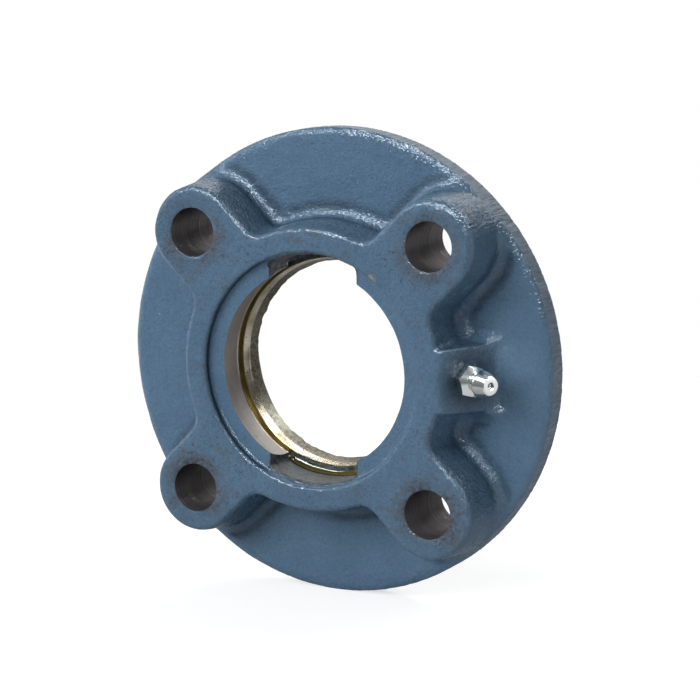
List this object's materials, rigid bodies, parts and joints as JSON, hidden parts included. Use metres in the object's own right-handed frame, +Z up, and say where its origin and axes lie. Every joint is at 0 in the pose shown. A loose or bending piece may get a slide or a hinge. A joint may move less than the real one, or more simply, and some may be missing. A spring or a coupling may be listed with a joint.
{
  "type": "flanged bearing housing",
  "caption": "Round flanged cast iron housing with a spherical bearing seat, a locating spigot behind, bolt ears and a grease nipple on a leaning boss.",
  "frame": {"origin": "centre of the bolt circle, on the mounting face of the disc and on the bore axis", "axes": "+Y along the bore axis from the front face towards the spigot behind, +Z up, with the grease nipple on the +X side"},
  "size_m": [0.115, 0.027, 0.115],
  "materials": {
    "painted_cast_iron": "steel-blue gloss paint over sand-cast iron, bare where it is machined",
    "zinc_plated_steel": "bright zinc plate over turned steel",
    "polished_ball_steel": "polished bearing steel",
    "spring_steel": "drawn spring wire, lightly oiled"
  },
  "bodies": {
    "housing": {"housing": "painted_cast_iron", "grease_nipple_body": "zinc_plated_steel", "grease_nipple_spring": "spring_steel"},
    "check_ball": {"grease_nipple_ball": "polished_ball_steel"}
  },
  "joints": [
    {"name": "check_ball_slide", "type": "slide", "parent": "housing", "child": "check_ball", "axis": [-0.866, 0.5, 0], "range_m": [0, 0.0009], "stiffness_N_per_m": 250, "springref_m": -0.001, "deforming": ["grease_nipple_spring"]}
  ]
}
